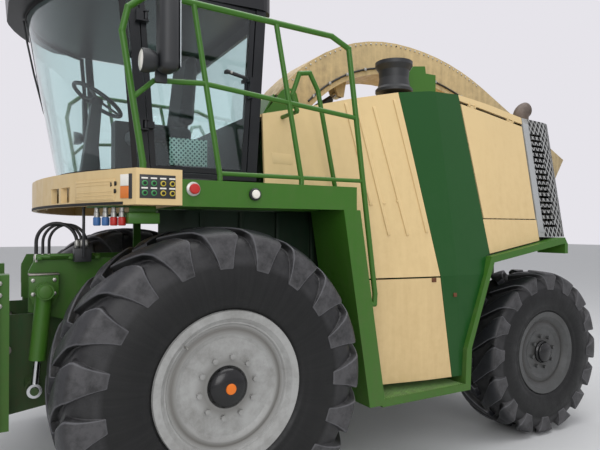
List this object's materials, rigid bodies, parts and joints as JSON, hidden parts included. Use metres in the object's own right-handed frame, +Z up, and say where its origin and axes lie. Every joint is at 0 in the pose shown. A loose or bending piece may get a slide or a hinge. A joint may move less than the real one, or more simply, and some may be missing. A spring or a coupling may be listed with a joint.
{
  "type": "forage harvester",
  "caption": "Self-propelled forage harvester with a curved slewing spout, rear-steered wheels, cab, side platforms and an open front intake with a coupling frame for a header.",
  "frame": {"origin": "on the ground under the middle of the whole machine, halfway between the intake's front and the spout's rear end", "axes": "+X forward, +Y to the machine's left, +Z up"},
  "size_m": [6.1402, 2.97, 3.5849],
  "materials": {
    "tyre": "matt rubber",
    "rim_paint": "satin grey paint",
    "green_paint": "satin paint",
    "band_paint": "satin paint",
    "beige_paint": "satin paint",
    "dark_paint": "satin black paint",
    "seat_cloth": "woven cloth",
    "black_plastic": "moulded plastic",
    "cab_glass": "green tinted glass",
    "grille_paint": "satin grey paint",
    "cast_block": "cast",
    "rod_chrome": "ground and chromed",
    "bare_steel": "worn steel"
  },
  "bodies": {
    "body": {"chassis_frame": "green_paint", "front_axle": "green_paint", "rear_axle": "green_paint", "engine_block": "cast_block", "chopper_housing": "green_paint", "front_frame": "green_paint", "body_frame": "green_paint", "cab_shell": "dark_paint", "cab_glazing": "cab_glass", "cab_seat": "seat_cloth", "cab_console": "black_plastic", "cab_fascia": "beige_paint", "platforms": "green_paint", "handrails": "green_paint", "side_panels": "beige_paint", "hood_bands": "band_paint", "hood_roof": "beige_paint", "rear_fenders": "green_paint", "rear_grille": "grille_paint", "exhaust_pipe": "bare_steel", "air_precleaner": "black_plastic", "hood_bracket": "green_paint", "mirrors": "black_plastic", "lamps": "black_plastic"},
    "turret": {"spout_turret": "green_paint"},
    "boom": {"spout_boom": "beige_paint"},
    "spout_cylinder": {"spout_barrel": "dark_paint"},
    "spout_piston": {"spout_rod": "rod_chrome"},
    "intake": {"feed_housing": "green_paint", "coupling_frame": "green_paint"},
    "upper_roll": {"feed_roll_upper": "bare_steel"},
    "lower_roll": {"feed_roll_lower": "bare_steel"},
    "lift_cylinder_left": {"lift_barrel_left": "green_paint"},
    "lift_piston_left": {"lift_rod_left": "rod_chrome"},
    "lift_cylinder_right": {"lift_barrel_right": "green_paint"},
    "lift_piston_right": {"lift_rod_right": "rod_chrome"},
    "wheel_front_left": {"tyre_front_left": "tyre", "rim_front_left": "rim_paint"},
    "wheel_front_right": {"tyre_front_right": "tyre", "rim_front_right": "rim_paint"},
    "wheel_rear_left": {"tyre_rear_left": "tyre", "rim_rear_left": "rim_paint"},
    "wheel_rear_right": {"tyre_rear_right": "tyre", "rim_rear_right": "rim_paint"},
    "steering_left": {"knuckle_left": "green_paint"},
    "steering_right": {"knuckle_right": "green_paint"},
    "track_rod": {"tie_rod": "bare_steel"},
    "door": {"cab_door_frame": "dark_paint", "cab_door_glass": "cab_glass"},
    "spout_end": {"spout_flap": "beige_paint"},
    "lid_left": {"lid_left": "beige_paint"},
    "lid_right": {"lid_right": "beige_paint"}
  },
  "joints": [
    {"name": "front_left_spin", "type": "hinge", "parent": "body", "child": "wheel_front_left", "pos_m": [1.62008, 1.16, 0.89], "axis": [0, 1, 0], "continuous": true},
    {"name": "front_right_spin", "type": "hinge", "parent": "body", "child": "wheel_front_right", "pos_m": [1.62008, -1.16, 0.89], "axis": [0, 1, 0], "continuous": true},
    {"name": "steer_left", "type": "hinge", "parent": "body", "child": "steering_left", "pos_m": [-1.41992, 0.62, 0.7], "axis": [0, 0, 1], "range_deg": [-40, 40]},
    {"name": "steer_right", "type": "hinge", "parent": "body", "child": "steering_right", "pos_m": [-1.41992, -0.62, 0.7], "axis": [0, 0, 1], "range_deg": [-40, 40]},
    {"name": "rear_left_spin", "type": "hinge", "parent": "steering_left", "child": "wheel_rear_left", "pos_m": [-1.41992, 0.97, 0.7], "axis": [0, 1, 0], "continuous": true},
    {"name": "rear_right_spin", "type": "hinge", "parent": "steering_right", "child": "wheel_rear_right", "pos_m": [-1.41992, -0.97, 0.7], "axis": [0, 1, 0], "continuous": true},
    {"name": "track_rod_pin", "type": "hinge", "parent": "steering_left", "child": "track_rod", "pos_m": [-1.66992, 0.62, 0.65], "axis": [0, 0, 1], "range_deg": [-40, 40]},
    {"name": "cab_door", "type": "hinge", "parent": "body", "child": "door", "pos_m": [1.95008, 0.912, 2.73], "axis": [0, 0, 1], "range_deg": [-30, 0]},
    {"name": "spout_slew", "type": "hinge", "parent": "body", "child": "turret", "pos_m": [0.64008, 0, 2.63], "axis": [0, 0, 1], "range_deg": [-100, 100]},
    {"name": "spout_lift", "type": "hinge", "parent": "turret", "child": "boom", "pos_m": [0.59008, 0, 2.9], "axis": [0, 1, 0], "range_deg": [0, 30]},
    {"name": "spout_flap", "type": "hinge", "parent": "boom", "child": "spout_end", "pos_m": [-2.64206, 0, 2.75245], "axis": [0, -1, 0], "range_deg": [0, 60]},
    {"name": "spout_cylinder_foot", "type": "hinge", "parent": "turret", "child": "spout_cylinder", "pos_m": [0.37008, 0, 2.755], "axis": [0, 1, 0], "range_deg": [0, 33]},
    {"name": "spout_piston_slide", "type": "slide", "parent": "spout_cylinder", "child": "spout_piston", "axis": [-0.8428, 0, 0.5382], "range_m": [0, 0.134]},
    {"name": "intake_lift", "type": "hinge", "parent": "body", "child": "intake", "pos_m": [1.67008, 0, 1.01], "axis": [0, -1, 0], "range_deg": [-12, 8]},
    {"name": "lift_cylinder_left_trunnion", "type": "hinge", "parent": "body", "child": "lift_cylinder_left", "pos_m": [2.48008, 0.61, 1.39], "axis": [0, -1, 0], "range_deg": [-6, 4]},
    {"name": "lift_piston_left_slide", "type": "slide", "parent": "lift_cylinder_left", "child": "lift_piston_left", "axis": [0.0928, 0, -0.9957], "range_m": [-0.117, 0.175]},
    {"name": "lift_cylinder_right_trunnion", "type": "hinge", "parent": "body", "child": "lift_cylinder_right", "pos_m": [2.48008, -0.61, 1.39], "axis": [0, -1, 0], "range_deg": [-6, 4]},
    {"name": "lift_piston_right_slide", "type": "slide", "parent": "lift_cylinder_right", "child": "lift_piston_right", "axis": [0.0928, 0, -0.9957], "range_m": [-0.117, 0.175]},
    {"name": "upper_roll_spin", "type": "hinge", "parent": "intake", "child": "upper_roll", "pos_m": [2.68008, 0, 1.01], "axis": [0, 1, 0], "continuous": true},
    {"name": "lower_roll_spin", "type": "hinge", "parent": "intake", "child": "lower_roll", "pos_m": [2.73008, 0, 0.745], "axis": [0, 1, 0], "continuous": true},
    {"name": "lid_left_hinge", "type": "hinge", "parent": "body", "child": "lid_left", "pos_m": [-0.88492, 1.06441, 2.72985], "axis": [0.9859, -0.0138, 0.167], "range_deg": [0, 75]},
    {"name": "lid_right_hinge", "type": "hinge", "parent": "body", "child": "lid_right", "pos_m": [-0.88492, -1.06441, 2.72985], "axis": [-0.9859, -0.0138, -0.167], "range_deg": [0, 75]}
  ],
  "couplings": [
    {"joint": "steer_right", "follows": "steer_left", "ratio": 1},
    {"joint": "track_rod_pin", "follows": "steer_left", "ratio": -1},
    {"joint": "spout_cylinder_foot", "follows": "spout_lift", "ratio": 1.087},
    {"joint": "spout_piston_slide", "follows": "spout_lift", "m_per_rad": 0.25583},
    {"joint": "lift_cylinder_left_trunnion", "follows": "intake_lift", "ratio": 0.48987},
    {"joint": "lift_piston_left_slide", "follows": "intake_lift", "m_per_rad": -0.83545},
    {"joint": "lift_cylinder_right_trunnion", "follows": "intake_lift", "ratio": 0.48987},
    {"joint": "lift_piston_right_slide", "follows": "intake_lift", "m_per_rad": -0.83545},
    {"joint": "lower_roll_spin", "follows": "upper_roll_spin", "ratio": -1.5}
  ]
}
